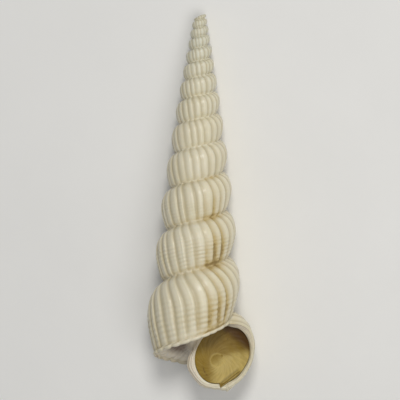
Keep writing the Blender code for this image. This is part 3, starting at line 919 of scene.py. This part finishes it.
class Paint:
    """A short way to write a material's nodes. It holds the colour so far, from the one it begins with."""

    def __init__(self, name, colour):
        self.colour = colour
        self.material = bpy.data.materials.new(name)
        self.material.use_nodes = True
        self.tree = self.material.node_tree
        self.shader = self.tree.nodes["Principled BSDF"]

    def node(self, kind, inputs=(), **settings):
        node = self.tree.nodes.new("ShaderNode" + kind)
        for name, value in settings.items():
            setattr(node, name, value)
        for key, value in dict(inputs).items():
            self.put(node.inputs[key], value)
        return node

    def put(self, socket, value):
        if isinstance(value, bpy.types.NodeSocket):
            self.tree.links.new(value, socket)
        elif isinstance(value, tuple) and socket.type == "RGBA":
            socket.default_value = (*value, 1.0)
        else:
            socket.default_value = value

    def mark(self, name):
        return self.node("Attribute", attribute_name=name).outputs["Fac"]

    def maths(self, operation, a, b=0.0, clamp=False):
        return self.node("Math", {0: a, 1: b}, operation=operation, use_clamp=clamp).outputs[0]

    def times(self, a, b):
        return self.maths("MULTIPLY", a, b)

    def plus(self, a, b, clamp=False):
        return self.maths("ADD", a, b, clamp)

    def lay(self, share, colour):
        """Lays this share of a colour over the colour so far."""
        inputs = {0: share, 6: self.colour, 7: colour}
        self.colour = self.node("Mix", inputs, data_type="RGBA").outputs[2]

    def tint(self, value, low, high, most, colour):
        """Lays a colour where value is high: none of it up to low, most from high on."""
        self.lay(self.times(self.ramp(value, low, high), most), colour)

    def ramp(self, value, low, high):
        """0 where value is low and 1 where it is high, with an even slope between."""
        return self.node("MapRange", {0: value, 1: low, 2: high}, clamp=True).outputs[0]

    def vector(self, x, y):
        return self.node("CombineXYZ", {0: x, 1: y}).outputs[0]

    def noise(self, where, scale, detail, rough=0.55):
        inputs = {"Vector": where, "Scale": scale, "Detail": detail, "Roughness": rough}
        return self.node("TexNoise", inputs).outputs["Fac"]

    def place(self):
        return self.node("TexCoord").outputs["Object"]

    def finish(self, roughness, height, distance, **fixed):
        """The material, with relief this high in metres. fixed are the shader's sockets with one value."""
        self.put(self.shader.inputs["Base Color"], self.colour)
        self.put(self.shader.inputs["Roughness"], roughness)
        relief = self.node("Bump", {"Height": height, "Distance": distance, "Strength": 1.0})
        self.put(self.shader.inputs["Normal"], relief.outputs[0])
        for name, value in fixed.items():
            self.put(self.shader.inputs[name.replace("_", " ")], value)
        return self.material


def srgb(r, g, b):
    """The linear colour of an 8-bit one."""
    return tuple((v / 255 / 12.92) if v < 11 else ((v / 255 + 0.055) / 1.055) ** 2.4 for v in (r, g, b))


IVORY = srgb(229, 221, 196)
WHITE = srgb(238, 233, 214)
SPIRE = srgb(216, 215, 198)
CREAM = srgb(216, 205, 166)
GROOVE_SHADE = srgb(176, 162, 124)
STAIN = srgb(188, 162, 96)
DIRT = srgb(122, 98, 50)
BASE_GREY = srgb(222, 210, 190)
BASE_SHADE = srgb(104, 82, 62)
LIP_WHITE = srgb(214, 204, 172)
SPIRE_RIBS = (150.0, 60.0)  # the last whorls' colour turns to the spire's between these


def shell_material():
    paint = Paint("shell_aragonite", IVORY)
    rib, row, groove, stain, base, lip, tone = (paint.mark(name) for name in Skin.MARKS)
    spot = paint.place()
    growth = paint.noise(paint.vector(paint.times(rib, 6.0), paint.times(row, 2.5)), 1.0, 4.0, 0.65)
    coarse = paint.noise(spot, 260.0, 3.0)
    patch = paint.noise(spot, 700.0, 4.0, 0.6)
    mottle = paint.noise(spot, 1300.0, 4.0, 0.7)
    fine = paint.noise(spot, 2200.0, 4.0, 0.65)
    # the clean shell, in bands along the ribs and in soft patches
    paint.lay(paint.ramp(rib, *SPIRE_RIBS), SPIRE)
    paint.tint(growth, 0.45, 0.75, 0.40, CREAM)
    paint.tint(coarse, 0.40, 0.75, 0.40, CREAM)
    paint.tint(patch, 0.55, 0.80, 0.35, WHITE)
    # paler where the tone mark is high, which includes a painted highlight along each rib's raised edge
    paint.lay(paint.times(tone, 0.22), WHITE)
    # painted shade wherever the groove mark is high: the grooves, between the spiral cords and the lip's
    # layers, and the base's hollows
    paint.lay(paint.times(groove, 0.60), GROOVE_SHADE)
    # the base and the lip, with painted shade in the base's hollows and furrow, in the cord's notches and
    # under the cord
    paint.lay(paint.times(base, paint.plus(0.55, paint.times(patch, 0.4))), BASE_GREY)
    paint.lay(paint.times(paint.times(base, groove), 0.9), BASE_SHADE)
    paint.lay(paint.times(lip, 0.55), LIP_WHITE)
    # golden dirt, and brown where it is thick
    dirty = paint.times(paint.ramp(stain, 0.03, 0.85), paint.plus(0.05, paint.times(mottle, 2.1)))
    paint.tint(dirty, 0.0, 0.75, 0.80, STAIN)
    paint.tint(dirty, 0.66, 1.15, 0.62, DIRT)
    rough = paint.plus(paint.plus(0.34, paint.times(fine, 0.22)), paint.times(dirty, 0.25), True)
    return paint.finish(
        rough,
        height=paint.plus(growth, paint.times(fine, 0.5)),
        distance=0.00004,
        Subsurface_Weight=0.12,
        Subsurface_Radius=Vector((0.9, 0.7, 0.45)),
        Subsurface_Scale=0.0002,
        Coat_Weight=0.20,
        Coat_Roughness=0.21,
    )


HORN = srgb(136, 110, 34)
HORN_LIGHT = srgb(198, 176, 106)
HORN_DARK = srgb(88, 62, 10)
HORN_SHADE = srgb(70, 42, 4)
HORN_DIRT = srgb(70, 56, 24)


def lid_material():
    paint = Paint("horn_lid", HORN)
    spiral, far, fold = (paint.mark(name) for name in ("rib", "row", "groove"))
    light, dark, upper = (paint.mark(name) for name in ("lip", "stain", "base"))
    spot = paint.place()
    lines = paint.noise(paint.vector(paint.times(spiral, 7.0), paint.times(far, 0.7)), 1.0, 4.0, 0.6)
    cloud = paint.noise(spot, 420.0, 4.0, 0.6)
    specks = paint.noise(spot, 1500.0, 2.0)
    fine = paint.noise(spot, 2600.0, 3.0)
    # the horn, painted light at the lower right, painted shade growing upwards, its growth lines, brighter
    # on the lit side, and painted shadow at the upper right with the dark cracks
    paint.lay(paint.times(light, 0.68), HORN_LIGHT)
    paint.lay(paint.times(upper, 0.42), HORN_DARK)
    paint.tint(lines, 0.42, 0.68, paint.plus(0.12, paint.times(light, 0.60)), HORN_LIGHT)
    paint.tint(lines, 0.50, 0.25, 0.16, HORN_DARK)
    paint.lay(paint.times(dark, 0.90), HORN_SHADE)
    # the raised ring, its middle, and dirt
    ring = paint.maths("ABSOLUTE", paint.plus(far, -NUCLEUS_RADIUS))
    paint.tint(ring, 0.20, 0.0, 0.40, HORN_LIGHT)
    paint.tint(far, 0.75, 0.05, 0.55, HORN)
    paint.tint(cloud, 0.62, 0.85, 0.5, HORN_DARK)
    paint.tint(specks, 0.72, 0.80, 0.8, HORN_DIRT)
    # the fold: darker in the dip inside it, painted shade on its sides and a painted highlight on its crest
    paint.tint(fold, -0.02, -0.25, 0.4, HORN_DIRT)
    paint.tint(fold, 0.10, 0.50, 0.55, HORN_DARK)
    paint.tint(fold, 0.75, 1.0, 0.45, HORN_LIGHT)
    return paint.finish(
        paint.plus(0.34, paint.times(cloud, 0.25)),
        height=paint.plus(lines, paint.times(fine, 0.3)),
        distance=0.00003,
        Subsurface_Weight=0.10,
        Subsurface_Radius=Vector((1.0, 0.7, 0.25)),
        Subsurface_Scale=0.0002,
        Specular_IOR_Level=0.20,
    )


FLOOR_GREY = srgb(236, 235, 232)
FLOOR_PALE = srgb(243, 242, 239)


def add_object(name, data):
    made = bpy.data.objects.new(name, data)
    bpy.context.scene.collection.objects.link(made)
    return made


def add_piece(skin, node, name, material, move):
    mesh = skin.mesh(name, move)
    mesh.materials.append(material)
    piece = add_object(name, mesh)
    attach(piece, "root")
    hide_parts(node)


def add_floor():
    mesh = bpy.data.meshes.new("floor")
    corners = [(x * FLOOR_REACH, y * FLOOR_REACH, 0) for x, y in ((-1, -1), (1, -1), (1, 1), (-1, 1))]
    mesh.from_pydata(corners, [], [(0, 1, 2, 3)])
    paint = Paint("floor", FLOOR_GREY)
    grain = paint.noise(paint.place(), 60.0, 4.0)
    paint.lay(grain, FLOOR_PALE)
    mesh.materials.append(paint.finish(0.8, grain, 0.0001))
    add_object("floor", mesh)


def add_light(name, at, size, power, colour):
    """An area light this far from the shell's middle, turned to it."""
    data = bpy.data.lights.new(name, "AREA")
    data.shape = "DISK"
    data.size = size
    data.energy = power
    data.color = colour
    light = add_object(name, data)
    light.location = at
    light.rotation_euler = Vector(at).to_track_quat("Z", "Y").to_euler()


def add_lights():
    for light in LIGHTS:
        add_light(*light)
    world = bpy.data.worlds.new("studio")
    world.use_nodes = True
    background = world.node_tree.nodes["Background"]
    background.inputs["Color"].default_value = ROOM_COLOUR
    background.inputs["Strength"].default_value = ROOM_POWER
    bpy.context.scene.world = world


def add_camera(move):
    data = bpy.data.cameras.new("camera")
    data.lens = VIEW_LENS
    data.sensor_width = VIEW_SENSOR
    away = VIEW_WIDTH * VIEW_LENS / VIEW_SENSOR * MM
    turned = (LIE @ Matrix.Rotation(VIEW_TILT, 3, "Z")).to_4x4()
    at = Vector(move(np.array([VIEW_AT]))[0])
    camera = add_object("camera", data)
    camera.matrix_world = Matrix.Translation(at + away * (LIE @ Vector((0, 0, 1)))) @ turned
    bpy.context.scene.camera = camera


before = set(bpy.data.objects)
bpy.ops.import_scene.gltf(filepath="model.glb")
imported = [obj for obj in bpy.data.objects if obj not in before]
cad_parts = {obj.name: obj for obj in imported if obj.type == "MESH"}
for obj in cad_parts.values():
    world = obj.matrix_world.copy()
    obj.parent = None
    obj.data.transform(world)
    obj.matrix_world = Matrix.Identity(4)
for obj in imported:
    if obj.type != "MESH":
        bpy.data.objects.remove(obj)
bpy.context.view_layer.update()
bpy.context.scene.view_settings.view_transform = "Standard"
to_row = row_frame_move()
add_camera(to_row)
add_piece(shell_skin(), "shell", "ribbed_shell", shell_material(), to_row)
add_piece(lid_skin(), "operculum", "horn_lid", lid_material(), to_row)
add_floor()
add_lights()
